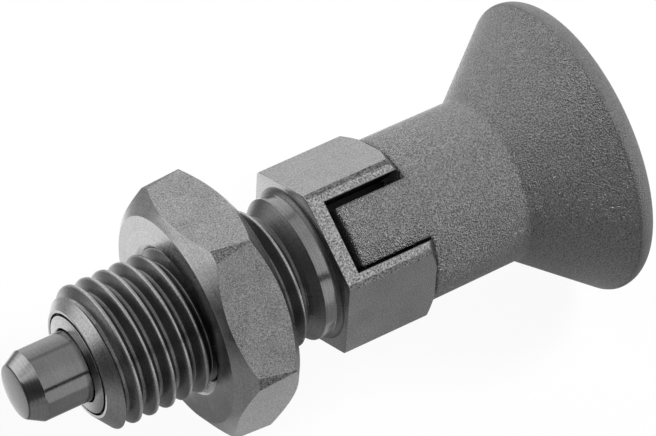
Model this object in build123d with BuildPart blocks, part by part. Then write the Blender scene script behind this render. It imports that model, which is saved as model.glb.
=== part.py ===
from build123d import *
import os
from math import cos, pi, radians, sin, sqrt, tan

# Indexing plunger with a locking slot. X is the axis, from the locking pin's point towards the knob,
# and +Z is up. X = 0 is the front face of the hexagon. All sizes are in millimetres and degrees.

# Clearances
pin_clearance = 0.03
stem_clearance = 0.05
mould_clearance = 0.02
thread_clearance = 0.04
seat_clearance = 0.02
knob_gap = 0.1

# Thread of the sleeve and the nut
thread_diameter = 12.0
thread_pitch = 1.5
thread_radius = thread_diameter / 2
thread_pitch_radius = thread_radius - 0.325 * thread_pitch
thread_root_radius = thread_radius - 0.613 * thread_pitch

# Guide sleeve, from its nose to the hexagon
sleeve_length = 20.7
nose_face_radius = 3.25
nose_ring_radius = 4.35
nose_ring_depth = 0.25
nose_land = 0.15
nose_length = 1.4
relief_length = 0.55
collar_length = 1.5
collar_overhang = 0.05
collar_flank = 0.65
collar_chamfer = 0.6
hexagon_land = 0.05

# Hexagon with the two notches that the tongue drops into, on both sides of a core round the stem
hexagon_width = 14.0
hexagon_length = 8.2
hexagon_corner_radius = 7.94
hexagon_rear_radius = 7.2
hexagon_chamfer_angle = 38.0
hexagon_angle = 30.0
slot_width = 6.2
slot_depth = 6.9
slot_angle = 120.0
slot_core = 5.0
core_clearance = 0.3
wall_thickness = 2.5

# Knob
knob_diameter = 25.0
shank_front_radius = 7.04
shank_rear_radius = 6.97
shank_length = 8.9
shank_chamfer = 0.3
flare_angle = 38.5
flare_radius = 0.5
rim_radius = 1.58
tongue_width = 5.1
tongue_length = 6.35
tongue_lean = 2.3
tongue_chamfer = 0.3
lift_clearance = 0.15

# Locking pin
pin_diameter = 6.0
pin_projection = 5.5
point_length = 1.5
point_radius = 2.27
stem_diameter = 3.2
stem_engagement = 13.0
groove_count = 2
groove_width = 1.0
groove_depth = 0.3
groove_pitch = 2.5

# Pressure spring
wire_diameter = 0.55
spring_mean_diameter = 4.8
spring_coils = 7.5
spring_reserve = 2.475

# Lock nut
nut_width = 19.0
nut_thickness = 6.0
nut_distance = 11.58
nut_angle = 47.3
nut_face_radius = 8.83
nut_corner_radius = 10.68
nut_chamfer_angle = 35.0
nut_countersink_radius = 6.4
mesh_margin = 0.2

# Places along the axis
nose_x = -sleeve_length
slot_floor_x = hexagon_length - slot_depth
wall_x = slot_floor_x - wall_thickness
knob_x = hexagon_length + knob_gap
tongue_x = knob_x - tongue_length
stroke = tongue_length + lift_clearance
spring_space = spring_coils * wire_diameter + stroke + spring_reserve
shoulder_x = wall_x - spring_space
pin_x = nose_x - pin_projection
stem_end_x = knob_x + stem_engagement
nut_x = -nut_distance
nut_rear_x = nut_x + nut_thickness
flank_x = -collar_length - collar_flank
hexagon_chamfer = (hexagon_corner_radius - hexagon_rear_radius) * tan(radians(hexagon_chamfer_angle))
chamfer_x = hexagon_length - hexagon_chamfer
tongue_angle = slot_angle + tongue_lean

pin_radius = pin_diameter / 2
stem_radius = stem_diameter / 2
bore_radius = pin_radius + pin_clearance
collar_radius = thread_radius + collar_overhang
collar_foot = min(collar_chamfer, hexagon_width / 2 - collar_radius - hexagon_land)
nut_bore_radius = thread_pitch_radius + thread_clearance
nut_chamfer = (nut_corner_radius - nut_face_radius) * tan(radians(nut_chamfer_angle))
nut_countersink_depth = nut_countersink_radius - nut_bore_radius
flare_cone = knob_diameter / 2 - flare_radius * (1 - cos(radians(flare_angle))) - shank_rear_radius
flare_reach = flare_cone / tan(radians(flare_angle)) + flare_radius * sin(radians(flare_angle))

os.makedirs("parts", exist_ok=True)


# The sleeve is one turned and milled piece. Its thread is drawn plain: at its crests where it is free,
# and at its pitch radius where the nut's thread is in mesh with it.
with BuildPart() as guide_sleeve:
    with BuildSketch(Plane.XY):
        with BuildLine():
            nose = Polyline(
                (nose_x, 0),
                (nose_x, nose_face_radius),
                (nose_x + nose_ring_depth, nose_ring_radius),
                (nose_x + nose_ring_depth, nose_ring_radius + nose_land),
                (nose_x + nose_length, thread_radius),
            )
            thread = Polyline(
                nose @ 1,
                (nut_x - mesh_margin, thread_radius),
                (nut_x - mesh_margin, thread_pitch_radius),
                (nut_rear_x + mesh_margin, thread_pitch_radius),
                (nut_rear_x + mesh_margin, thread_radius),
                (flank_x - relief_length - thread_pitch / 4, thread_radius),
                (flank_x - relief_length, thread_root_radius),
                (flank_x, thread_root_radius),
                (-collar_length, collar_radius),
            )
            Polyline(
                thread @ 1,
                (0, collar_radius),
                (0, 0),
                nose @ 0,
            )
        make_face()
    revolve(axis=Axis.X)

    # The hexagon's corners are turned round, with a turned chamfer at the rear
    with BuildSketch(Plane.YZ):
        RegularPolygon(hexagon_width / 2, 6, major_radius=False, rotation=hexagon_angle)
    extrude(amount=hexagon_length)
    with BuildSketch(Plane.XY):
        Polygon(
            (nose_x, 0),
            (nose_x, hexagon_corner_radius),
            (chamfer_x, hexagon_corner_radius),
            (hexagon_length, hexagon_rear_radius),
            (hexagon_length, 0),
            align=None,
        )
    revolve(axis=Axis.X, mode=Mode.INTERSECT)
    collar_edge = guide_sleeve.edges().filter_by(GeomType.CIRCLE)
    collar_edge = collar_edge.filter_by_position(Axis.X, -0.01, 0.01)
    chamfer(collar_edge.sort_by(SortBy.RADIUS)[0], length=collar_foot)

    # The spring chamber from the front, the stem hole through the wall and the core, and the notches
    with BuildSketch(Plane.YZ.offset(nose_x)):
        Circle(bore_radius)
    extrude(amount=wall_x - nose_x, mode=Mode.SUBTRACT)
    with BuildSketch(Plane.YZ.offset(wall_x)):
        Circle(stem_radius + stem_clearance)
    extrude(amount=hexagon_length - wall_x, mode=Mode.SUBTRACT)
    with BuildSketch(Plane.YZ.offset(slot_floor_x)):
        Rectangle(hexagon_width * 2, slot_width, rotation=slot_angle)
        Rectangle(slot_core, slot_width, rotation=slot_angle, mode=Mode.SUBTRACT)
    extrude(amount=slot_depth, mode=Mode.SUBTRACT)
guide_sleeve.part.label = "guide_sleeve"
export_step(guide_sleeve.part, "parts/guide_sleeve.step")


# The pin slides in the sleeve's bore. Its shoulder carries the spring, and its stem reaches through the
# wall and the core into the knob, where grooves hold it in the moulding.
with BuildPart() as locking_pin:
    with BuildSketch(Plane.XY):
        Polygon(
            (pin_x, 0),
            (pin_x, point_radius),
            (pin_x + point_length, pin_radius),
            (shoulder_x, pin_radius),
            (shoulder_x, stem_radius),
            (stem_end_x, stem_radius),
            (stem_end_x, 0),
            align=None,
        )
    revolve(axis=Axis.X)
    for index in range(groove_count):
        groove_x = stem_end_x - groove_pitch * (index + 1)
        with BuildSketch(Plane.YZ.offset(groove_x)):
            Circle(stem_radius)
            Circle(stem_radius - groove_depth, mode=Mode.SUBTRACT)
        extrude(amount=groove_width, mode=Mode.SUBTRACT)
locking_pin.part.label = "locking_pin"
export_step(locking_pin.part, "parts/locking_pin.step")


# The spring is wound round the stem, between the pin's shoulder and the wall, with its ends ground flat.
# Its wire is drawn six-sided, with the round wire's area.
with BuildPart() as pressure_spring:
    spring_start = shoulder_x + seat_clearance
    spring_length = spring_space - 2 * seat_clearance
    with BuildLine() as coil:
        Helix(
            pitch=spring_length / spring_coils,
            height=spring_length,
            radius=spring_mean_diameter / 2,
            center=(spring_start, 0, 0),
            direction=(1, 0, 0),
        )
    with BuildSketch(Plane(origin=coil.line @ 0, z_dir=coil.line % 0)):
        RegularPolygon(wire_diameter / 2 * sqrt(2 * pi / (3 * sqrt(3))), 6)
    sweep(path=coil.line, is_frenet=True)
    with BuildSketch(Plane.YZ.offset(spring_start)):
        Circle(bore_radius)
    extrude(amount=spring_length, mode=Mode.INTERSECT)
pressure_spring.part.label = "pressure_spring"
export_step(pressure_spring.part, "parts/pressure_spring.step")


# The knob is one moulding: the tongue's two lugs beside the core, flush with the shank, then the shank,
# the flare, the rim and the flat top. The tongue leans towards one wall of the notches, within its play.
with BuildPart() as pull_knob:
    with BuildSketch(Plane.YZ.offset(tongue_x)):
        Rectangle(shank_front_radius * 2, tongue_width, rotation=tongue_angle)
        Rectangle(slot_core + 2 * core_clearance, tongue_width, rotation=tongue_angle, mode=Mode.SUBTRACT)
        Circle(shank_front_radius, mode=Mode.INTERSECT)
    extrude(amount=tongue_length + shank_chamfer)
    chamfer(pull_knob.edges().group_by(Axis.X)[0], length=tongue_chamfer)
    with BuildSketch(Plane.XY):
        with BuildLine():
            rim_x = knob_x + shank_length + flare_reach
            flare = CenterArc((rim_x, knob_diameter / 2 - flare_radius), flare_radius, 90, flare_angle)
            rim = CenterArc((rim_x, knob_diameter / 2 - rim_radius), rim_radius, 0, 90)
            Polyline(
                flare @ 1,
                (knob_x + shank_length, shank_rear_radius),
                (knob_x + shank_chamfer, shank_front_radius),
                (knob_x, shank_front_radius - shank_chamfer),
                (knob_x, 0),
                (rim_x + rim_radius, 0),
                rim @ 0,
            )
        make_face()
    revolve(axis=Axis.X)
    with BuildSketch(Plane.YZ.offset(tongue_x)):
        Circle(stem_radius + mould_clearance)
    extrude(amount=stem_end_x + mould_clearance - tongue_x, mode=Mode.SUBTRACT)
pull_knob.part.label = "pull_knob"
export_step(pull_knob.part, "parts/pull_knob.step")


# The lock nut runs on the sleeve's thread, with turned chamfers and a countersink at both faces
with BuildPart() as lock_nut:
    with BuildSketch(Plane.YZ.offset(nut_x)):
        RegularPolygon(nut_width / 2, 6, major_radius=False, rotation=nut_angle)
    extrude(amount=nut_thickness)
    with BuildSketch(Plane.XY):
        Polygon(
            (nut_x, nut_countersink_radius),
            (nut_x, nut_face_radius),
            (nut_x + nut_chamfer, nut_corner_radius),
            (nut_rear_x - nut_chamfer, nut_corner_radius),
            (nut_rear_x, nut_face_radius),
            (nut_rear_x, nut_countersink_radius),
            (nut_rear_x - nut_countersink_depth, nut_bore_radius),
            (nut_x + nut_countersink_depth, nut_bore_radius),
            align=None,
        )
    revolve(axis=Axis.X, mode=Mode.INTERSECT)
lock_nut.part.label = "lock_nut"
export_step(lock_nut.part, "parts/lock_nut.step")
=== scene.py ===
from math import acos, atan2, ceil, cos, degrees, hypot, pi, radians, sin, sqrt, tan

import bmesh
import bpy
from mathutils import Matrix, Vector


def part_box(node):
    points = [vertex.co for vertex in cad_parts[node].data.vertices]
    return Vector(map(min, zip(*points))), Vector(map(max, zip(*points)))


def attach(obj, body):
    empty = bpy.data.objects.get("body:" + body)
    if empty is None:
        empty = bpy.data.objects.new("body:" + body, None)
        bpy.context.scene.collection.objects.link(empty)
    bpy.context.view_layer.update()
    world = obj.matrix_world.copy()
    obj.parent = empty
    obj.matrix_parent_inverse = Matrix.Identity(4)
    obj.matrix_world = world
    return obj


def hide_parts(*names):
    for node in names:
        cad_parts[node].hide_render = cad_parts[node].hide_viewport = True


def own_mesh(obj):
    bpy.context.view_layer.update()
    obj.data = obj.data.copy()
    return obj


# An indexing plunger, dressed for the render. Sizes are in millimetres and angles in degrees, in the part's
# own frame: X is the plunger's axis, towards the knob, +Z is up, and X = 0 is the hexagon's front face.
# An angle about the axis runs from +Y towards +Z.
MM = 0.001

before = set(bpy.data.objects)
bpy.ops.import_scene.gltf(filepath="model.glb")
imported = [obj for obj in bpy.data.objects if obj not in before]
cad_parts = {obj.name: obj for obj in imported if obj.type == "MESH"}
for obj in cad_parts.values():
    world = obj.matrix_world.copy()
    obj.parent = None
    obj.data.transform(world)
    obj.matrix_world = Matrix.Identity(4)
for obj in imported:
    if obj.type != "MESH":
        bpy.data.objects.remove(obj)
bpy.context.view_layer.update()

# Places along the axis, read from the frame
NOSE_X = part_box("guide_sleeve")[0].x / MM
HEXAGON_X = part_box("guide_sleeve")[1].x / MM
PIN_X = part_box("locking_pin")[0].x / MM
STEM_END_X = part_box("locking_pin")[1].x / MM
TONGUE_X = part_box("pull_knob")[0].x / MM
KNOB_END_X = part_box("pull_knob")[1].x / MM
KNOB_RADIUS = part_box("pull_knob")[1].z / MM
NUT_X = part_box("lock_nut")[0].x / MM
NUT_END_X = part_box("lock_nut")[1].x / MM
SPRING_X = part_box("pressure_spring")[0].x / MM
SPRING_END_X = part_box("pressure_spring")[1].x / MM
PIN_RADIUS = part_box("locking_pin")[1].z / MM

# Thread
PITCH = 1.5
CREST_RADIUS = 6.0
ROOT_RADIUS = 5.08
PITCH_RADIUS = 5.5125
CREST_FLAT = 0.19
ROOT_FLAT = 0.3
CREST_PHASE = -18.39
CREST_ROUND = 0.05
ROOT_ROUND = 0.12
THREAD_STEPS = 160
SPARE_TURNS = 3

# Meshes
LATHE_STEPS = 192
HOLE_STEPS = 64
OVERCUT = 1.0
MERGE_DISTANCE = 0.0005
SHARP_ANGLE = 24


def arc_points(centre, radius, start, end, count):
    """Points of an arc in a profile's plane, with its angles in degrees."""
    angles = [radians(start + (end - start) * i / count) for i in range(count + 1)]
    return [(centre[0] + radius * cos(a), centre[1] + radius * sin(a)) for a in angles]


def rounded(points, radii, steps=5):
    """The open outline with an arc in place of each inner corner that has a radius."""
    result = [points[0]]
    for before, corner, after, radius in zip(points, points[1:], points[2:], radii):
        to_before = Vector(before) - Vector(corner)
        to_after = Vector(after) - Vector(corner)
        if radius <= 0 or to_before.length == 0 or to_after.length == 0:
            result.append(corner)
            continue
        half = to_before.angle(to_after) / 2
        reach = radius / tan(half)
        start = Vector(corner) + to_before.normalized() * reach
        end = Vector(corner) + to_after.normalized() * reach
        middle = (to_before.normalized() + to_after.normalized()).normalized()
        centre = Vector(corner) + middle * radius / sin(half)
        for i in range(steps + 1):
            spoke = (start - centre).lerp(end - centre, i / steps).normalized()
            result.append(tuple(centre + spoke * radius))
    result.append(points[-1])
    return result


def new_piece(name, points, faces):
    """A mesh object from points in millimetres."""
    mesh = bpy.data.meshes.new(name)
    mesh.from_pydata([Vector(p) * MM for p in points], [], faces)
    mesh.validate()
    piece = bpy.data.objects.new(name, mesh)
    bpy.context.scene.collection.objects.link(piece)
    return piece


def tidy(piece, merge=MERGE_DISTANCE):
    """Merges points that coincide, within a distance, and turns all faces outwards."""
    work = bmesh.new()
    work.from_mesh(piece.data)
    bmesh.ops.remove_doubles(work, verts=work.verts, dist=merge * MM)
    bmesh.ops.dissolve_degenerate(work, edges=work.edges, dist=merge * MM)
    bmesh.ops.recalc_face_normals(work, faces=work.faces)
    work.to_mesh(piece.data)
    work.free()
    return piece


def loft(name, sections):
    """A closed solid through sections with as many points each, capped at both ends."""
    count = len(sections[0])
    points = [p for section in sections for p in section]
    faces = []
    for i in range(len(sections) - 1):
        for j in range(count):
            k = (j + 1) % count
            faces.append((i * count + j, i * count + k, (i + 1) * count + k, (i + 1) * count + j))
    faces.append(tuple(range(count - 1, -1, -1)))
    faces.append(tuple((len(sections) - 1) * count + j for j in range(count)))
    return tidy(new_piece(name, points, faces))


def lathe(name, outline, steps=LATHE_STEPS):
    """A solid turned about the axis from (x, radius) points that start and end on the axis."""
    points = [(outline[0][0], 0, 0)]
    faces = []
    rings = outline[1:-1]
    for x, radius in rings:
        for j in range(steps):
            angle = 2 * pi * j / steps
            points.append((x, radius * cos(angle), radius * sin(angle)))
    points.append((outline[-1][0], 0, 0))
    last = len(points) - 1
    for j in range(steps):
        k = (j + 1) % steps
        faces.append((0, 1 + k, 1 + j))
        for i in range(len(rings) - 1):
            a = 1 + i * steps
            b = a + steps
            faces.append((a + j, a + k, b + k, b + j))
        faces.append((last, 1 + (len(rings) - 1) * steps + j, 1 + (len(rings) - 1) * steps + k))
    return tidy(new_piece(name, points, faces))


def apply_modifiers(piece):
    """Puts the result of the piece's modifiers in its mesh."""
    graph = bpy.context.evaluated_depsgraph_get()
    result = bpy.data.meshes.new_from_object(piece.evaluated_get(graph))
    piece.modifiers.clear()
    old = piece.data
    piece.data = result
    bpy.data.meshes.remove(old)


def combine(piece, tool, operation):
    """Applies an exact boolean and removes the tool."""
    modifier = piece.modifiers.new("combine", "BOOLEAN")
    modifier.object = tool
    modifier.operation = operation
    modifier.solver = "EXACT"
    apply_modifiers(piece)
    bpy.data.objects.remove(tool)
    return piece


def soften(piece, angle=SHARP_ANGLE):
    """Smooth shading that follows the large faces. Edges that turn by more than the angle stay sharp."""
    work = bmesh.new()
    work.from_mesh(piece.data)
    for face in work.faces:
        face.smooth = True
    for edge in work.edges:
        edge.smooth = not (len(edge.link_faces) == 2 and edge.calc_face_angle(0) > radians(angle))
    work.to_mesh(piece.data)
    work.free()
    weigh = piece.modifiers.new("weigh", "WEIGHTED_NORMAL")
    weigh.keep_sharp = True
    apply_modifiers(piece)
    return piece


def across(x, along, height, angle):
    """A point at a height above the axis towards an angle, and along the direction square to that."""
    turn = radians(angle)
    return (x, height * cos(turn) - along * sin(turn), height * sin(turn) + along * cos(turn))


def ring_point(x, radius, angle):
    """A point at an angle about the axis."""
    return (x, radius * cos(radians(angle)), radius * sin(radians(angle)))


# ---------------------------------------------------------------- guide sleeve

# Hexagon and its notches
HEXAGON_WIDTH = 14.0
HEXAGON_CORNER = 7.94
HEXAGON_REAR_RADIUS = 7.2
HEXAGON_CHAMFER = 0.58
HEXAGON_TURN = 0.0
HEXAGON_CORE = 3.0
CHAMFER_LAND = 0.03
FLAT_STEPS = 16
CORNER_STEPS = 5
SLOT_ANGLE = 120.0
SLOT_WIDTH = 6.2
SLOT_CORE = 5.0
SLOT_X = 1.3
SLOT_BREAK = 0.06
CORE_CLEARANCE = 0.3

# Nose, with the ring groove round its face. The depths are measured from the face.
NOSE_FACE_RADIUS = 3.2
NOSE_FACE_DEPTH = 0.2
NOSE_EDGE_RADIUS = 4.58
NOSE_EDGE_DEPTH = 0.24
NOSE_LENGTH = 1.4
GROOVE_RADIUS = 4.12
GROOVE_END_RADIUS = 4.33
GROOVE_DEPTH = 0.55
GROOVE_TAPER = 0.02

# The thread's place and ends, and the plain part where the nut's thread is in mesh with it
THREAD_ANGLE = 124.6
THREAD_END_X = -2.75
THREAD_RUNOUT = 0.45
THREAD_OVERRUN = 0.4
MESH_INSET = 0.38
MESH_X = NUT_X + MESH_INSET
MESH_END_X = NUT_END_X - MESH_INSET

# Relief and collar, and the joint by which the turned part reaches into the hexagon
RELIEF_RADIUS = 5.02
FLANK_X = -2.5
COLLAR_X = -1.42
COLLAR_RADIUS = 6.05
COLLAR_FILLET = 0.6
JOINT_HEIGHT = 0.7
JOINT_DEPTH = 0.5
CLEAR_RADIUS = 12.0

# Bore
BORE_RADIUS = 3.03
WALL_X = -1.2
STEM_HOLE_RADIUS = 1.65
MOUTH_RADIUS = 3.13
MOUTH_LENGTH = 0.7
MOUTH_BREAK = 0.07
MOUTH_OVERCUT = 0.1


def thread_turn():
    """The thread's profile over one pitch from a crest's middle, as (x, radius) with rounded corners."""
    crest = CREST_FLAT / 2
    root = (PITCH - ROOT_FLAT) / 2
    corners = [
        (0, CREST_RADIUS),
        (crest, CREST_RADIUS),
        (root, ROOT_RADIUS),
        (PITCH - root, ROOT_RADIUS),
        (PITCH - crest, CREST_RADIUS),
        (PITCH, CREST_RADIUS),
    ]
    return rounded(corners, [CREST_ROUND, ROOT_ROUND, ROOT_ROUND, CREST_ROUND], steps=3)[:-1]


def open_edges(faces):
    """The edges that only one face uses."""
    uses = {}
    for face in faces:
        for p, q in zip(face, face[1:] + face[:1]):
            key = (min(p, q), max(p, q))
            uses[key] = uses.get(key, 0) + 1
    return [edge for edge, count in uses.items() if count == 1]


def threaded_bar(name, start, end, rear_radius):
    """A closed bar with a right-hand thread, whose rows follow the helix, so that its crests are clean.

    It is plain and at the root before the thread's start, and plain and wide behind the thread's end.
    """
    turn = thread_turn()
    first = ceil((start - CREST_PHASE) / PITCH) - SPARE_TURNS - 1
    last = ceil((end - CREST_PHASE) / PITCH) + SPARE_TURNS
    rows = [(CREST_PHASE + count * PITCH + x, r) for count in range(first, last) for x, r in turn]
    points = []
    for x, radius in rows:
        for j in range(THREAD_STEPS):
            here = x + PITCH * j / THREAD_STEPS
            if here > end:
                reach = rear_radius
            elif here < start - OVERCUT:
                reach = ROOT_RADIUS
            else:
                reach = radius
            points.append(ring_point(here, reach, THREAD_ANGLE + 360 * j / THREAD_STEPS))
    faces = []
    for i in range(len(rows) - 1):
        for j in range(THREAD_STEPS):
            wraps = j == THREAD_STEPS - 1
            step = (len(turn) - 1) * THREAD_STEPS + 1 if wraps else 1
            a, d = i * THREAD_STEPS + j, (i + 1) * THREAD_STEPS + j
            if d + step < len(points):
                faces.append((a, a + step, d + step, d))
    middle = (start + end) / 2
    tips = len(points)
    points += [(rows[0][0] - PITCH, 0, 0), (rows[-1][0] + SPARE_TURNS * PITCH, 0, 0)]
    for p, q in open_edges(faces):
        tip = tips if points[p][0] < middle else tips + 1
        faces.append((tip, p, q))
    return tidy(new_piece(name, points, faces), merge=MERGE_DISTANCE / 10)


def sleeve_outline():
    """The sleeve's turned outline, from the nose to inside the hexagon, with the thread at its crests."""
    front = rounded(
        [
            (NOSE_X, 0),
            (NOSE_X, NOSE_FACE_RADIUS),
            (NOSE_X + NOSE_FACE_DEPTH, GROOVE_RADIUS),
            (NOSE_X + GROOVE_DEPTH, GROOVE_RADIUS + 2 * GROOVE_TAPER),
            (NOSE_X + GROOVE_DEPTH, GROOVE_END_RADIUS - GROOVE_TAPER),
            (NOSE_X + NOSE_EDGE_DEPTH + GROOVE_TAPER, GROOVE_END_RADIUS),
            (NOSE_X + NOSE_EDGE_DEPTH, NOSE_EDGE_RADIUS),
            (NOSE_X + NOSE_LENGTH, CREST_RADIUS),
            (MESH_X, CREST_RADIUS),
        ],
        [0.02, 0.03, 0, 0, 0.02, 0.04, 0.1],
    )
    mesh = [(MESH_X, PITCH_RADIUS), (MESH_END_X, PITCH_RADIUS)]
    rear = rounded(
        [
            (MESH_END_X, CREST_RADIUS),
            (THREAD_END_X - THREAD_RUNOUT, CREST_RADIUS),
            (THREAD_END_X, RELIEF_RADIUS),
            (FLANK_X, RELIEF_RADIUS),
            (COLLAR_X, COLLAR_RADIUS),
            (0, COLLAR_RADIUS),
            (0, COLLAR_RADIUS + JOINT_HEIGHT),
            (JOINT_DEPTH, COLLAR_RADIUS + JOINT_HEIGHT),
            (JOINT_DEPTH, 0),
        ],
        [0.1, 0.05, 0.03, 0.04, COLLAR_FILLET, 0, 0],
    )
    return front + mesh + rear


def hexagon_point(share, width, corner):
    """The angle and radius of a point on a hexagon with turned corners.

    The share runs over a flat from -1 to 1, and on over the corner behind it to 2.
    """
    limit = degrees(acos(width / 2 / corner))
    if share <= 1:
        return share * limit, width / 2 / cos(radians(share * limit))
    return limit + (share - 1) * (60 - 2 * limit), corner


def turned_hexagon(name, turn, outline):
    """A hexagon prism with turned corners. outline(share) gives its (x, radius, angle) points.

    The flats have their middles at turn + 60 i.
    """
    shares = [2 * i / FLAT_STEPS - 1 for i in range(FLAT_STEPS + 1)]
    shares += [1 + i / CORNER_STEPS for i in range(1, CORNER_STEPS)]
    sections = []
    for flat in range(6):
        start = turn + 60 * flat
        for share in shares:
            sections.append([ring_point(x, radius, start + angle) for x, radius, angle in outline(share)])
    points = [p for section in sections for p in section]
    count = len(sections[0])
    faces = []
    for i in range(len(sections)):
        a, b = i * count, (i + 1) % len(sections) * count
        for j in range(count - 1):
            faces.append((a + j, b + j, b + j + 1, a + j + 1))
    for j in (0, count - 1):
        faces.append(tuple(i * count + j for i in range(len(sections))))
    return tidy(new_piece(name, points, faces))


def sleeve_hexagon(share):
    """The hexagon's outline: a crisp front edge and a turned chamfer at the rear."""
    angle, radius = hexagon_point(share, HEXAGON_WIDTH, HEXAGON_CORNER)
    end = min(HEXAGON_REAR_RADIUS, radius - CHAMFER_LAND)
    start = HEXAGON_X - HEXAGON_CHAMFER * (radius - end) / (HEXAGON_CORNER - HEXAGON_REAR_RADIUS)
    corners = [(0, HEXAGON_CORE), (0, radius), (start, radius), (HEXAGON_X, end), (HEXAGON_X, HEXAGON_CORE)]
    return [(x, r, angle) for x, r in rounded(corners, [0.06, 0.03, 0.02], steps=3)]


def notch_cutter(side):
    """One of the two notches beside the core, with a slight break where it meets the flat."""
    reach = HEXAGON_WIDTH / 2
    rear_x = HEXAGON_X + 2 * OVERCUT
    levels = [(SLOT_CORE / 2, 0), (reach - SLOT_BREAK, 0), (reach + OVERCUT, OVERCUT + SLOT_BREAK)]
    sections = []
    for height, flare in levels:
        half = SLOT_WIDTH / 2 + flare
        front_x = SLOT_X - flare
        corners = [(front_x, -half), (front_x, half), (rear_x, half), (rear_x, -half)]
        sections.append([across(x, along * side, height * side, SLOT_ANGLE) for x, along in corners])
    return loft("notch_cutter", sections)


def make_sleeve():
    """The sleeve: a threaded bar, turned to its outline, with the notched hexagon and the bore."""
    sleeve = threaded_bar("guide_sleeve_body", NOSE_X, THREAD_END_X + THREAD_OVERRUN, CLEAR_RADIUS)
    combine(sleeve, lathe("sleeve_outline", sleeve_outline()), "INTERSECT")
    hexagon = turned_hexagon("sleeve_hexagon", HEXAGON_TURN, sleeve_hexagon)
    combine(hexagon, notch_cutter(1), "DIFFERENCE")
    combine(hexagon, notch_cutter(-1), "DIFFERENCE")
    combine(sleeve, hexagon, "UNION")
    bore = [
        (NOSE_X - MOUTH_OVERCUT, 0),
        (NOSE_X - MOUTH_OVERCUT, MOUTH_RADIUS + MOUTH_BREAK + MOUTH_OVERCUT),
        (NOSE_X + MOUTH_BREAK, MOUTH_RADIUS),
        (NOSE_X + MOUTH_LENGTH, MOUTH_RADIUS),
        (NOSE_X + MOUTH_LENGTH + MOUTH_RADIUS - BORE_RADIUS, BORE_RADIUS),
        (WALL_X, BORE_RADIUS),
        (WALL_X, STEM_HOLE_RADIUS),
        (HEXAGON_X + OVERCUT, STEM_HOLE_RADIUS),
        (HEXAGON_X + OVERCUT, 0),
    ]
    combine(sleeve, lathe("sleeve_bore", bore), "DIFFERENCE")
    soften(sleeve)
    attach(sleeve, "guide")
    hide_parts("guide_sleeve")
    return sleeve


# ---------------------------------------------------------------- lock nut

NUT_WIDTH = 19.0
NUT_CORNER = 10.65
NUT_REAR_CORNER = 10.93
NUT_FACE_RADIUS = 8.83
NUT_REAR_FACE_RADIUS = 8.87
NUT_CHAMFER = 1.3
NUT_TURN = 17.3
NUT_BORE_RADIUS = 5.55
NUT_COUNTERSINK_RADIUS = 6.4
NUT_CORE_RADIUS = 5.9
NUT_CORE_DEPTH = 0.4


def nut_outline(share):
    """The nut's outline, from its front countersink over a flat or corner to the rear one.

    The corners are turned with a slight taper, so that they are broad in front and narrow behind. Both
    ends of the outline lie in what the bore cuts away.
    """
    front_angle, front = hexagon_point(share, NUT_WIDTH, NUT_CORNER)
    rear_angle, rear = hexagon_point(share, NUT_WIDTH, NUT_REAR_CORNER)
    slope = NUT_CHAMFER / (NUT_CORNER - NUT_FACE_RADIUS)
    front_x = NUT_X + slope * (front - NUT_FACE_RADIUS)
    rear_x = NUT_END_X - slope * (rear - NUT_REAR_FACE_RADIUS)
    corners = [
        (NUT_X + NUT_CORE_DEPTH, NUT_CORE_RADIUS),
        (NUT_X, NUT_COUNTERSINK_RADIUS),
        (NUT_X, NUT_FACE_RADIUS),
        (front_x, front),
        (rear_x, rear),
        (NUT_END_X, NUT_REAR_FACE_RADIUS),
        (NUT_END_X, NUT_COUNTERSINK_RADIUS),
        (NUT_END_X - NUT_CORE_DEPTH, NUT_CORE_RADIUS),
    ]
    points = []
    for x, radius in rounded(corners, [0.05, 0.08, 0.06, 0.06, 0.08, 0.05], steps=4):
        along = min(max((x - front_x) / (rear_x - front_x), 0), 1)
        points.append((x, radius, front_angle + (rear_angle - front_angle) * along))
    return points


def make_nut():
    """The nut, with a plain bore where the threads are in mesh and a countersink at each end."""
    nut = turned_hexagon("lock_nut_body", NUT_TURN, nut_outline)
    depth = NUT_COUNTERSINK_RADIUS - NUT_BORE_RADIUS
    bore = [
        (NUT_X - OVERCUT, 0),
        (NUT_X - OVERCUT, NUT_COUNTERSINK_RADIUS + OVERCUT),
        (NUT_X + depth, NUT_BORE_RADIUS),
        (NUT_END_X - depth, NUT_BORE_RADIUS),
        (NUT_END_X + OVERCUT, NUT_COUNTERSINK_RADIUS + OVERCUT),
        (NUT_END_X + OVERCUT, 0),
    ]
    combine(nut, lathe("nut_bore", bore), "DIFFERENCE")
    soften(nut)
    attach(nut, "nut")
    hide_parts("lock_nut")
    return nut


# ---------------------------------------------------------------- locking pin

POINT_RADIUS = 2.27
POINT_LENGTH = 1.5
PIN_DOME = [(0.02, 0.8), (0.08, 1.5), (0.2, POINT_RADIUS)]
SEAT_CLEARANCE = 0.02
SHOULDER_X = SPRING_X - SEAT_CLEARANCE
STEM_RADIUS = 1.6


def make_pin():
    """The pin, with a slightly domed end, a bevel, and a stem behind the shoulder."""
    outline = rounded(
        [
            (PIN_X, 0),
            *((PIN_X + depth, radius) for depth, radius in PIN_DOME),
            (PIN_X + POINT_LENGTH, PIN_RADIUS),
            (SHOULDER_X, PIN_RADIUS),
            (SHOULDER_X, STEM_RADIUS),
            (STEM_END_X, STEM_RADIUS),
            (STEM_END_X, 0),
        ],
        [8, 8, 0.3, 0.25, 0.2, 0.1, 0.1],
        steps=6,
    )
    pin = lathe("locking_pin_body", outline)
    soften(pin)
    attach(pin, "pin")
    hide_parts("locking_pin")
    return pin


# ---------------------------------------------------------------- pull knob

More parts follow.
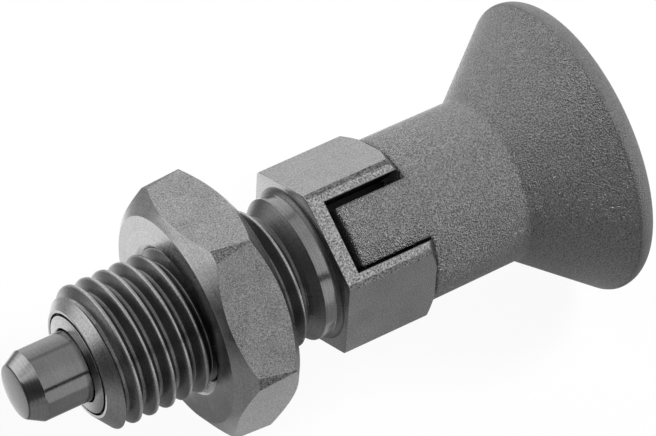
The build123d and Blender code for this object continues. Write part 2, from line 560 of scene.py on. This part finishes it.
KNOB_X = 8.3
KNOB_STEPS = 256
SHANK_RADIUS = 7.04
SHANK_REAR_RADIUS = 6.97
SHANK_REAR_X = 17.2
SHANK_FILLET = 0.25
FLARE_ANGLE = 38.5
FLARE_RADIUS = 0.5
RIM_RADIUS = 1.58
CREASE_X = KNOB_END_X - RIM_RADIUS - FLARE_RADIUS * sin(radians(FLARE_ANGLE))
CREASE_DEPTH = 0.03
CREASE_WIDTH = 0.08
TONGUE_WIDTH = 5.1
TONGUE_ANGLE = 122.3
TONGUE_INSET = 0.012
TONGUE_RADIUS = SHANK_RADIUS - TONGUE_INSET
EDGE_RADIUS = 0.3
LEAST_RADIUS = 0.02
MOULD_CLEARANCE = 0.02


def lug_section(x, inset, side):
    """A lug's section at x, with its crown flush with the shank and its outer corners rounded."""
    half = TONGUE_WIDTH / 2 - inset
    crown = TONGUE_RADIUS - inset
    corner = max(EDGE_RADIUS - inset, LEAST_RADIUS)
    height = sqrt((crown - corner) ** 2 - (half - corner) ** 2)
    spread = degrees(atan2(height, half - corner))
    first = arc_points((half - corner, height), corner, 0, spread, 4)
    top = arc_points((0, 0), crown, spread, 180 - spread, 24)
    last = arc_points((corner - half, height), corner, 180 - spread, 180, 4)
    foot = SLOT_CORE / 2 + CORE_CLEARANCE + inset
    outline = [(half, foot)] + first + top[1:-1] + last + [(-half, foot)]
    return [across(x, along * side, level * side, TONGUE_ANGLE) for along, level in outline]


def make_knob():
    """The knob: the shank, the flare up to a fine crease, the rim and the flat top, with the two lugs."""
    rim_x = KNOB_END_X - RIM_RADIUS
    rim = arc_points((rim_x, KNOB_RADIUS - FLARE_RADIUS), FLARE_RADIUS, 90 + FLARE_ANGLE, 90, 6)
    crease_radius = rim[0][1]
    rise = CREASE_WIDTH * tan(radians(FLARE_ANGLE))
    flare = [
        (CREASE_X - CREASE_WIDTH, crease_radius - rise),
        (CREASE_X - CREASE_WIDTH / 2, crease_radius - CREASE_DEPTH - rise / 2),
    ]
    rim += arc_points((rim_x, KNOB_RADIUS - RIM_RADIUS), RIM_RADIUS, 90, 0, 20)[1:]
    shank = rounded(
        [(KNOB_X, 0), (KNOB_X, SHANK_RADIUS), (SHANK_REAR_X, SHANK_REAR_RADIUS), flare[0]],
        [EDGE_RADIUS, SHANK_FILLET],
    )
    knob = lathe("pull_knob_body", shank[:-1] + flare + rim + [(KNOB_END_X, 0)], steps=KNOB_STEPS)
    for side in (1, -1):
        # The lug's front edges are round, in sections along a quarter turn
        sections = []
        for angle in range(0, 91, 15):
            inset = EDGE_RADIUS * (1 - sin(radians(angle)))
            front_x = TONGUE_X + EDGE_RADIUS * (1 - cos(radians(angle)))
            sections.append(lug_section(front_x, inset, side))
        sections.append(lug_section(KNOB_X + OVERCUT, 0, side))
        combine(knob, loft("tongue_lug", sections), "UNION")
    radius = STEM_RADIUS + MOULD_CLEARANCE
    start_x, end_x = TONGUE_X - OVERCUT, STEM_END_X + MOULD_CLEARANCE
    hole = [(start_x, 0), (start_x, radius), (end_x, radius), (end_x, 0)]
    combine(knob, lathe("stem_hole", hole, steps=HOLE_STEPS), "DIFFERENCE")
    soften(knob)
    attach(knob, "knob")
    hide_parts("pull_knob")
    return knob


# ---------------------------------------------------------------- pressure spring

SPRING_WIRE = 0.55
SPRING_RADIUS = 2.4
SPRING_COILS = 7.5
SPRING_STEPS = 32
WIRE_STEPS = 12
WIRE_SHARP_ANGLE = 60


def make_spring():
    """A round wire wound round the stem, which the pull presses together."""
    sections = []
    start, end = SPRING_X + SPRING_WIRE / 2, SPRING_END_X - SPRING_WIRE / 2
    count = int(SPRING_COILS * SPRING_STEPS)
    for i in range(count + 1):
        angle = 360 * i / SPRING_STEPS
        middle = start + (end - start) * i / count
        section = []
        for j in range(WIRE_STEPS):
            spoke = 2 * pi * j / WIRE_STEPS
            x = middle + SPRING_WIRE / 2 * sin(spoke)
            section.append(ring_point(x, SPRING_RADIUS + SPRING_WIRE / 2 * cos(spoke), angle))
        sections.append(section)
    spring = loft("pressure_spring_wire", sections)
    soften(spring, WIRE_SHARP_ANGLE)
    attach(spring, "guide")
    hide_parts("pressure_spring")
    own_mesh(spring)
    return spring


# ---------------------------------------------------------------- camera

# Fitted to the photo's outlines. The offset is measured from the nut's front, to the right and up.
LENS_MM = 280.3
SENSOR_MM = 36
CAMERA_DISTANCE = 400.2
CAMERA_RIGHT = Vector((0.84883, -0.52718, 0.03952))
CAMERA_UP = Vector((0.38324, 0.66511, 0.64089))
CAMERA_BACK = Vector((-0.36415, -0.52886, 0.76662))
CAMERA_OFFSET = (11.954, 7.982)
CLIP_START_M = 0.01
CLIP_END_M = 10


def make_camera():
    """The photo's camera."""
    data = bpy.data.cameras.new("camera")
    data.lens = LENS_MM
    data.sensor_width = SENSOR_MM
    data.sensor_fit = "HORIZONTAL"
    data.clip_start = CLIP_START_M
    data.clip_end = CLIP_END_M
    camera = bpy.data.objects.new("camera", data)
    bpy.context.scene.collection.objects.link(camera)
    place = Vector((NUT_X, 0, 0)) + CAMERA_RIGHT * CAMERA_OFFSET[0] + CAMERA_UP * CAMERA_OFFSET[1]
    place += CAMERA_BACK * CAMERA_DISTANCE
    turn = Matrix((CAMERA_RIGHT, CAMERA_UP, CAMERA_BACK)).transposed()
    camera.matrix_world = Matrix.Translation(place * MM) @ turn.to_4x4()
    bpy.context.scene.camera = camera


# ---------------------------------------------------------------- floor, world and lamps

# Each range gives where a change starts and where it ends. What the part's gloss shows of the floor goes
# from dim to bright over a range of Y, then fades behind, and has a brighter patch in front.
FLOOR_GAP = 0.05
FLOOR_Z = -KNOB_RADIUS - FLOOR_GAP
FLOOR_X = (-42, 52)
FLOOR_Y = (-38, 38)
FLOOR_GREY = 0.85
FLOOR_DIM, FLOOR_BRIGHT, FLOOR_BRIGHT_Y = 0.25, 1.4, (0.5, 5)
FLOOR_FAR, FLOOR_FAR_Y = 0.5, (25, 31)
PATCH = 0.3
PATCH_Y, PATCH_END_Y = (-3, -7), (-11, -14)
PATCH_X, PATCH_END_X = (-16, -11), (3, 8)
FLOOR_WHITE = {"Is Camera Ray": 0.93, "Is Transmission Ray": 0.93, "Is Glossy Ray": 0.8}

# The room's brightness by direction, as ranges of the direction's X, Y and Z
WORLD_BASE = 0.6
WORLD_BEHIND = 0.42
WORLD_CORNER = 0.5
WORLD_FRONT, WORLD_FRONT_Y = 0.12, (-0.2, -0.6)
WORLD_BELOW, WORLD_BELOW_RANGE = 0.4, (-0.15, 0.0)
WORLD_LEFT, WORLD_LEFT_Z = 0.7, (0.08, 0.2)
WORLD_LEFT_X, WORLD_LEFT_Y = (-0.05, -0.4), (-0.25, 0.3)
WORLD_SOFT = 0.5
WORLD_WHITE = {"Is Camera Ray": 1.0, "Is Transmission Ray": 1.0, "Is Glossy Ray": 0.05}
DARK_SIDE, DARK_RANGE, DARK_LEVEL = (-0.855, -0.453, 0.252), (0.79, 0.87), 0.03
# The height of a seam, the range off it over which it ends, its level, and where it ends along Y
FRONT_SEAM = (0.367, (0.06, 0.1), 0.02, (-0.5, -0.2))
REAR_SEAM = (0.742, (0.02, 0.1), 0.6, (0.3, 0.1))
LAMP_DISTANCE = 500


def node(tree, kind, operation=None, **inputs):
    """A shader node with some of its inputs set by name."""
    made = tree.nodes.new(kind)
    if operation:
        made.operation = operation
    for name, value in inputs.items():
        made.inputs[name.replace("_", " ")].default_value = value
    return made


def new_material(name):
    """A material and its node tree."""
    material = bpy.data.materials.new(name)
    material.use_nodes = True
    return material, material.node_tree


def calc(tree, operation, first, second=0.0):
    """A Math node on sockets or numbers."""
    made = node(tree, "ShaderNodeMath", operation=operation)
    for socket, value in zip(made.inputs, (first, second)):
        if isinstance(value, (int, float)):
            socket.default_value = value
        else:
            tree.links.new(value, socket)
    return made.outputs[0]


def chain(tree, operation, values):
    """The values joined one after another by an operation."""
    total = values[0]
    for value in values[1:]:
        total = calc(tree, operation, total, value)
    return total


def weighted(tree, weights):
    """The sum of Light Path outputs, each times its weight."""
    path = tree.nodes.new("ShaderNodeLightPath")
    parts = [calc(tree, "MULTIPLY", path.outputs[kind], weight) for kind, weight in weights.items()]
    return chain(tree, "ADD", parts)


def remap(tree, value, source, target, kind="LINEAR"):
    """A value mapped from one range to another, and held at the range's ends."""
    made = node(tree, "ShaderNodeMapRange", From_Min=source[0], From_Max=source[1])
    made.inputs["To Min"].default_value, made.inputs["To Max"].default_value = target
    made.interpolation_type = kind
    tree.links.new(value, made.inputs["Value"])
    return made.outputs[0]


def ramp(tree, value, source, start=0.0, end=1.0):
    """A smooth change from start to end while the value goes over a range."""
    return remap(tree, value, source, (start, end), "SMOOTHSTEP")


def mixed(tree, output, weights, first, second):
    """Ends the tree with the first shader, and as much of the second as the kind of ray has weight."""
    mix = node(tree, "ShaderNodeMixShader")
    tree.links.new(weighted(tree, weights), mix.inputs[0])
    tree.links.new(first.outputs[0], mix.inputs[1])
    tree.links.new(second.outputs[0], mix.inputs[2])
    tree.links.new(mix.outputs[0], output.inputs[0])


def make_floor():
    """A pale floor that shows white and keeps a little of the part's shadow.

    Polished steel shows it brighter behind the part than in front, as a floor lit from behind.
    """
    (west, east), (south, north) = FLOOR_X, FLOOR_Y
    corners = [(west, south), (east, south), (east, north), (west, north)]
    floor = new_piece("floor", [(x, y, FLOOR_Z) for x, y in corners], [(0, 1, 2, 3)])
    material, tree = new_material("pale_floor")
    tree.nodes.clear()
    output = node(tree, "ShaderNodeOutputMaterial")
    diffuse = node(tree, "ShaderNodeBsdfDiffuse", Color=(FLOOR_GREY, FLOOR_GREY, FLOOR_GREY, 1))
    white = node(tree, "ShaderNodeEmission", Color=(1, 1, 1, 1))
    parts = node(tree, "ShaderNodeSeparateXYZ")
    tree.links.new(node(tree, "ShaderNodeTexCoord").outputs["Object"], parts.inputs[0])
    x, y = parts.outputs[:2]

    def over(place, source, start, end):
        return ramp(tree, place, (source[0] * MM, source[1] * MM), start, end)

    slope = over(y, FLOOR_BRIGHT_Y, FLOOR_DIM, FLOOR_BRIGHT)
    patch = [over(y, PATCH_Y, 0.0, PATCH), over(y, PATCH_END_Y, 1.0, 0.0)]
    patch += [over(x, PATCH_X, 0.0, 1.0), over(x, PATCH_END_X, 1.0, 0.0)]
    slope = calc(tree, "ADD", slope, chain(tree, "MULTIPLY", patch))
    slope = calc(tree, "MULTIPLY", slope, over(y, FLOOR_FAR_Y, 1.0, FLOOR_FAR / FLOOR_BRIGHT))
    polished = weighted(tree, {"Is Glossy Ray": 1.0})
    change = calc(tree, "MULTIPLY", polished, calc(tree, "SUBTRACT", slope, 1.0))
    tree.links.new(calc(tree, "ADD", change, 1.0), white.inputs["Strength"])
    mixed(tree, output, FLOOR_WHITE, diffuse, white)
    floor.data.materials.append(material)


def seam(tree, y, z, height, widths, level, end_y):
    """A dark line between the room's panels, at a height and as far as a place along Y."""
    off = calc(tree, "ABSOLUTE", calc(tree, "SUBTRACT", z, height))
    line = ramp(tree, off, widths, level, 1.0)
    return calc(tree, "MAXIMUM", line, ramp(tree, y, end_y))


def make_world():
    """A studio, pale behind the part (+Y) and dark at its front left, with dark seams between its panels.

    The camera sees it white.
    """
    world = bpy.data.worlds.new("studio")
    bpy.context.scene.world = world
    world.use_nodes = True
    tree = world.node_tree
    tree.nodes.clear()
    output = node(tree, "ShaderNodeOutputWorld")
    direction = node(tree, "ShaderNodeTexCoord").outputs["Generated"]
    parts = node(tree, "ShaderNodeSeparateXYZ")
    tree.links.new(direction, parts.inputs[0])
    x, y, z = parts.outputs

    # Brighter behind, towards the left corner there and towards the front, and dimmer below
    level = calc(tree, "SUBTRACT", 1.0, calc(tree, "ABSOLUTE", z))
    behind = calc(tree, "MULTIPLY", calc(tree, "MAXIMUM", y, 0.0), level)
    glow = calc(tree, "ADD", calc(tree, "MULTIPLY", behind, WORLD_BEHIND), WORLD_BASE)
    left = calc(tree, "MAXIMUM", calc(tree, "MULTIPLY", x, -WORLD_CORNER), 0.0)
    glow = calc(tree, "ADD", glow, calc(tree, "MULTIPLY", behind, left))
    glow = calc(tree, "ADD", glow, ramp(tree, y, WORLD_FRONT_Y, 0.0, WORLD_FRONT))
    rise = calc(tree, "ADD", z, calc(tree, "MAXIMUM", x, 0.0))
    glow = calc(tree, "MULTIPLY", glow, ramp(tree, rise, WORLD_BELOW_RANGE, WORLD_BELOW, 1.0))

    # A bright panel high on the left
    panel = [ramp(tree, z, WORLD_LEFT_Z, 0.0, WORLD_LEFT)]
    panel += [ramp(tree, x, WORLD_LEFT_X), ramp(tree, y, WORLD_LEFT_Y)]
    glow = calc(tree, "ADD", glow, chain(tree, "MULTIPLY", panel))

    # The dark side and the seams
    side = node(tree, "ShaderNodeVectorMath", operation="DOT_PRODUCT")
    tree.links.new(direction, side.inputs[0])
    side.inputs[1].default_value = DARK_SIDE
    shade = ramp(tree, side.outputs["Value"], DARK_RANGE, 1.0, DARK_LEVEL)
    seams = calc(tree, "MULTIPLY", seam(tree, y, z, *FRONT_SEAM), seam(tree, y, z, *REAR_SEAM))
    strength = calc(tree, "MULTIPLY", glow, calc(tree, "MULTIPLY", shade, seams))

    # Matte light comes from it at a lower level
    soft = calc(tree, "SUBTRACT", 1.0, weighted(tree, {"Is Diffuse Ray": 1 - WORLD_SOFT}))
    strength = calc(tree, "MULTIPLY", strength, soft)
    room = node(tree, "ShaderNodeBackground", Color=(1, 1, 1, 1))
    tree.links.new(strength, room.inputs["Strength"])
    white = node(tree, "ShaderNodeBackground", Color=(1, 1, 1, 1), Strength=1.0)
    mixed(tree, output, WORLD_WHITE, room, white)


def softbox(name, toward, size, power, glints=None):
    """A square lamp that looks at the part from a direction. Polished faces show the studio in its place.

    One with glints only makes them, on the pieces of that collection.
    """
    data = bpy.data.lights.new(name, "AREA")
    data.shape = "RECTANGLE"
    data.size = size * MM
    data.size_y = size * MM
    data.energy = power
    light = bpy.data.objects.new(name, data)
    bpy.context.scene.collection.objects.link(light)
    direction = Vector(toward).normalized()
    light.matrix_world = direction.to_track_quat("Z", "Y").to_matrix().to_4x4()
    light.location = direction * LAMP_DISTANCE * MM
    light.visible_camera = False
    light.visible_glossy = glints is not None
    light.visible_diffuse = glints is None
    if glints:
        light.light_linking.receiver_collection = glints


# ---------------------------------------------------------------- materials

# Scales of noise are in features per metre, depths of bumps in metres, and tints are shares of the grey.
NOISE_ROUGHNESS = 0.6
NOISE_RANGE = (0.3, 0.7)
CLOUD_SCALE, CLOUD_TINT, CLOUD_ROUGHNESS = 450, 0.08, 0.05
SPECKLE_DEPTH = 0.00002
TURNED_SCALE, TURNED_TINT, TURNED_RELIEF, TURNED_DEPTH = 9000, 0.12, 0.5, 0.000012
DRAWN_SCALE, DRAWN_TINT, DRAWN_RELIEF, DRAWN_DEPTH = 5000, 0.05, 0.35, 0.00001
DRAWN_STRETCH = (0.06, 1, 1)
# Painted highlight and shade on the thread: the radii over which the colour goes from painted shade in the
# grooves to a painted highlight at the crests, and its levels there
PAINTED_CREST_RADIUS = (CREST_RADIUS * MM * 0.975, CREST_RADIUS * MM * 0.997)
PAINTED_CREST_LEVEL = (0.45, 1.25)
FINE_SHARE, FINE_TINT = 2.2, 0.06


def noise(tree, place, scale, detail, stretch=(1, 1, 1)):
    """Noise on the object's own coordinates, which may be stretched."""
    mapping = node(tree, "ShaderNodeMapping", Scale=stretch)
    made = node(tree, "ShaderNodeTexNoise", Scale=scale, Detail=detail, Roughness=NOISE_ROUGHNESS)
    tree.links.new(place, mapping.inputs["Vector"])
    tree.links.new(mapping.outputs[0], made.inputs["Vector"])
    return made.outputs["Fac"]


def turned_place(tree, place):
    """Coordinates that change only along the axis and outwards, so that a pattern runs round the axis."""
    parts = node(tree, "ShaderNodeSeparateXYZ")
    tree.links.new(place, parts.inputs[0])
    x, y, z = parts.outputs
    square = calc(tree, "ADD", calc(tree, "MULTIPLY", y, y), calc(tree, "MULTIPLY", z, z))
    joined = node(tree, "ShaderNodeCombineXYZ")
    tree.links.new(x, joined.inputs[0])
    tree.links.new(calc(tree, "SQRT", square), joined.inputs[1])
    return joined.outputs[0]


def spread(tree, value, middle, reach):
    """Noise mapped to a range about a middle."""
    return remap(tree, value, NOISE_RANGE, (middle - reach, middle + reach))


def tinted(tree, grey, factors):
    """A grey times factors, as a colour's socket."""
    scaled = node(tree, "ShaderNodeVectorMath", operation="SCALE")
    scaled.inputs[0].default_value = (grey, grey, grey)
    tree.links.new(chain(tree, "MULTIPLY", factors), scaled.inputs["Scale"])
    return scaled.outputs[0]


def bump(tree, shader, heights):
    """A chain of bumps from (height, strength, depth) onto the shader."""
    normal = None
    for height, strength, depth in heights:
        made = node(tree, "ShaderNodeBump", Strength=strength, Distance=depth)
        tree.links.new(height, made.inputs["Height"])
        if normal is not None:
            tree.links.new(normal, made.inputs["Normal"])
        normal = made.outputs["Normal"]
    tree.links.new(normal, shader.inputs["Normal"])


def steel(name, grey, roughness, marks="", speckle=0.3, relief=0.35, grain=9000, painted_crests=False):
    """Blackened steel: a fine speckle, cloudy oxide, and turned or drawn marks where it was worked.

    The thread's steel has a painted highlight at its crests and painted shade in its grooves.
    """
    material, tree = new_material(name)
    shader = tree.nodes["Principled BSDF"]
    shader.inputs["Metallic"].default_value = 1.0
    place = node(tree, "ShaderNodeTexCoord").outputs["Object"]
    fine = noise(tree, place, grain, 3)
    clouds = noise(tree, place, CLOUD_SCALE, 2)
    factors = [spread(tree, fine, 1, speckle), spread(tree, clouds, 1, CLOUD_TINT)]
    heights = [(fine, relief, SPECKLE_DEPTH)]
    if marks == "turned":
        lines = noise(tree, turned_place(tree, place), TURNED_SCALE, 3)
        factors.append(spread(tree, lines, 1, TURNED_TINT))
        heights.append((lines, TURNED_RELIEF, TURNED_DEPTH))
    if marks == "drawn":
        lines = noise(tree, place, DRAWN_SCALE, 3, stretch=DRAWN_STRETCH)
        factors.append(spread(tree, lines, 1, DRAWN_TINT))
        heights.append((lines, DRAWN_RELIEF, DRAWN_DEPTH))
    # Painted shade on the thread's flanks and roots, and a painted highlight at its crests
    if painted_crests:
        radius = node(tree, "ShaderNodeSeparateXYZ")
        tree.links.new(turned_place(tree, place), radius.inputs[0])
        factors.append(remap(tree, radius.outputs[1], PAINTED_CREST_RADIUS, PAINTED_CREST_LEVEL))
    tree.links.new(tinted(tree, grey, factors), shader.inputs["Base Color"])
    tree.links.new(spread(tree, clouds, roughness, CLOUD_ROUGHNESS), shader.inputs["Roughness"])
    bump(tree, shader, heights)
    return material


def plastic(name, grey, roughness, grain, depth, contrast):
    """Matte moulded plastic with an eroded, wormy grain."""
    material, tree = new_material(name)
    shader = tree.nodes["Principled BSDF"]
    shader.inputs["Roughness"].default_value = roughness
    place = node(tree, "ShaderNodeTexCoord").outputs["Object"]
    worms = noise(tree, place, grain, 0.0)
    fine = noise(tree, place, grain * FINE_SHARE, 2)
    factors = [spread(tree, worms, 1, contrast), spread(tree, fine, 1, FINE_TINT)]
    tree.links.new(tinted(tree, grey, factors), shader.inputs["Base Color"])
    bump(tree, shader, [(worms, 1.0, depth)])
    return material


# ---------------------------------------------------------------- which face gets which material

# Places in a piece's list of materials. The nut has the sleeve's first three.
# On the sleeve, the fifth place holds the painted shade of the notches and the ring groove, and the sixth
# the painted shade of the relief and the collar's fillet.
TURNED, FLAT, CORNER, THREAD, HOLLOW_SHADE, RELIEF, NOTCHED_FLAT, COLLAR = range(8)
CYLINDER, BEVEL, END = range(3)
GRAINED, SMOOTH = range(2)

# A face looks sideways below this X of its normal. It is on a corner beyond the first of these angles
# from a flat's direction, and on a notched flat within the second of them from the notches' direction.
SIDEWAYS = 0.3
NUT_SIDEWAYS = 0.2
CORNER_AWAY = 20
NOTCHED_AWAY = 5

# The radii where the corners begin, and where the relief ends and the collar's fillet begins, which has
# painted shade like the relief
HEXAGON_CORNER_FROM = 7.7
NUT_CORNER_FROM = 9.0
RELIEF_END_X = COLLAR_X - 0.03
COLLAR_FILLET_X = -0.4

# Margins where two materials meet
WIDE, SLIGHT, FINE = 0.05, 0.02, 0.01


def dress(piece, materials, choose=None):
    """Gives each face of a piece the material whose place choose(middle, normal) returns."""
    piece.data.materials.clear()
    for material in materials:
        piece.data.materials.append(material)
    for face in piece.data.polygons:
        face.material_index = choose(face.center / MM, face.normal) if choose else 0


def away(normal, turn, repeat):
    """How far a face looks away from the nearest of the directions turn + repeat i about the axis."""
    angle = degrees(atan2(normal.z, normal.y)) - turn
    return abs((angle + repeat / 2) % repeat - repeat / 2)


def is_corner(normal, turn):
    """Whether a face is on a turned corner of a hexagon whose flats have their middles at turn + 60 i."""
    return abs(normal.x) < SIDEWAYS and away(normal, turn, 60) > CORNER_AWAY


def is_milled(middle):
    """Whether a face of the hexagon lies in a notch."""
    turn = radians(SLOT_ANGLE)
    height = middle.y * cos(turn) + middle.z * sin(turn)
    along = middle.z * cos(turn) - middle.y * sin(turn)
    return abs(along) < SLOT_WIDTH / 2 + FINE and abs(height) < HEXAGON_WIDTH / 2 - FINE


def is_grooved(middle, radius):
    """Whether a face lies in the ring groove round the nose's face."""
    depth = middle.x - NOSE_X
    deep = NOSE_EDGE_DEPTH - SLIGHT < depth < GROOVE_DEPTH + WIDE
    return deep and GROOVE_RADIUS - FINE < radius < GROOVE_END_RADIUS + FINE


def sleeve_part(middle, normal):
    """The material of a face of the sleeve."""
    radius = hypot(middle.y, middle.z)
    # The notches get near-black steel, which is painted shade
    if middle.x > SLOT_X - WIDE and radius < HEXAGON_CORNER_FROM and is_milled(middle):
        return HOLLOW_SHADE
    if middle.x > FINE:
        if radius > HEXAGON_CORNER_FROM and is_corner(normal, HEXAGON_TURN):
            return CORNER
        notched = abs(normal.x) < SIDEWAYS and away(normal, SLOT_ANGLE, 180) < NOTCHED_AWAY
        return NOTCHED_FLAT if notched else FLAT
    # The relief, and further on the collar's fillet, get the dark steel that paints their shade
    if THREAD_END_X < middle.x < RELIEF_END_X:
        return RELIEF
    # The nose's ring groove gets the same near-black steel, as painted shade
    if is_grooved(middle, radius):
        return HOLLOW_SHADE
    if RELIEF_END_X < middle.x < -SLIGHT:
        return COLLAR if middle.x < COLLAR_FILLET_X else RELIEF
    return THREAD if NOSE_X + NOSE_LENGTH + WIDE < middle.x < THREAD_END_X else TURNED


def pin_part(middle, normal):
    """The material of a face of the pin."""
    if middle.x > PIN_X + POINT_LENGTH:
        return CYLINDER
    return BEVEL if hypot(middle.y, middle.z) > POINT_RADIUS + SLIGHT else END


def nut_part(middle, normal):
    """The material of a face of the nut, whose faces and chamfers are turned."""
    if abs(normal.x) > NUT_SIDEWAYS or hypot(middle.y, middle.z) < NUT_CORNER_FROM:
        return TURNED
    return CORNER if is_corner(normal, NUT_TURN) else FLAT


def knob_part(middle, normal):
    """The material of a face of the knob, which is smoother on the rim and the top."""
    return SMOOTH if middle.x > CREASE_X + SLIGHT else GRAINED


# ---------------------------------------------------------------- the scene

bpy.context.scene.view_settings.view_transform = "Standard"
make_camera()
make_floor()
make_world()
softbox("key", (0.67, -0.2, 0.71), size=160, power=2.4)
softbox("back", (-0.36, 0.91, 0.2), size=160, power=2.2)

turned = steel("turned_steel", 0.37, 0.25, "turned")
drawn = steel("drawn_steel", 0.37, 0.3, "drawn", speckle=0.5)
blasted = steel("notched_flat_steel", 0.45, 0.35, speckle=0.95, relief=0.9, grain=7500)
forged = steel("nut_flat_steel", 0.4, 0.3, speckle=0.65, relief=0.7, grain=9500)
corner = steel("corner_steel", 0.24, 0.4, "drawn", speckle=0.9, grain=7000)
# The thread's steel has painted highlights on its crests and painted shade in its grooves
thread = steel("thread_steel", 0.37, 0.26, "turned", painted_crests=True)
# Dark steel for the relief behind the thread and the collar's fillet: painted shade in these hollows
shaded_relief = steel("relief_shade_steel", 0.13, 0.3, "turned")
collar = steel("collar_steel", 0.31, 0.16, "turned", speckle=0.2, relief=0.2)
# Near-black steel for the notches and the nose's ring groove: painted shade where these hollows lie in
# shadow
hollow_shade = steel("hollow_shade_steel", 0.05, 0.5)
ground = steel("ground_steel", 0.26, 0.12, "turned", speckle=0.15, relief=0.1)
bevel = steel("pin_bevel_steel", 0.3, 0.14, "turned", speckle=0.15, relief=0.1)
tip = steel("pin_end_steel", 0.13, 0.2, "turned", speckle=0.15, relief=0.1)
wire = steel("wire_steel", 0.5, 0.3)
grained = plastic("grained_plastic", 0.18, 0.28, grain=8200, depth=0.00016, contrast=0.48)
smooth = plastic("rim_plastic", 0.145, 0.4, grain=9000, depth=0.00012, contrast=0.25)

dress(make_sleeve(), [turned, drawn, corner, thread, hollow_shade, shaded_relief, blasted, collar], sleeve_part)
dress(make_nut(), [turned, forged, corner], nut_part)
dress(make_pin(), [ground, bevel, tip], pin_part)
dress(make_spring(), [wire])
knob = make_knob()
dress(knob, [grained, smooth], knob_part)

mouldings = bpy.data.collections.new("mouldings")
mouldings.objects.link(knob)
softbox("left_glints", (-0.78, 0.12, 0.6), size=90, power=2.6, glints=mouldings)
softbox("right_glints", (0.36, -0.75, 0.55), size=120, power=1.6, glints=mouldings)
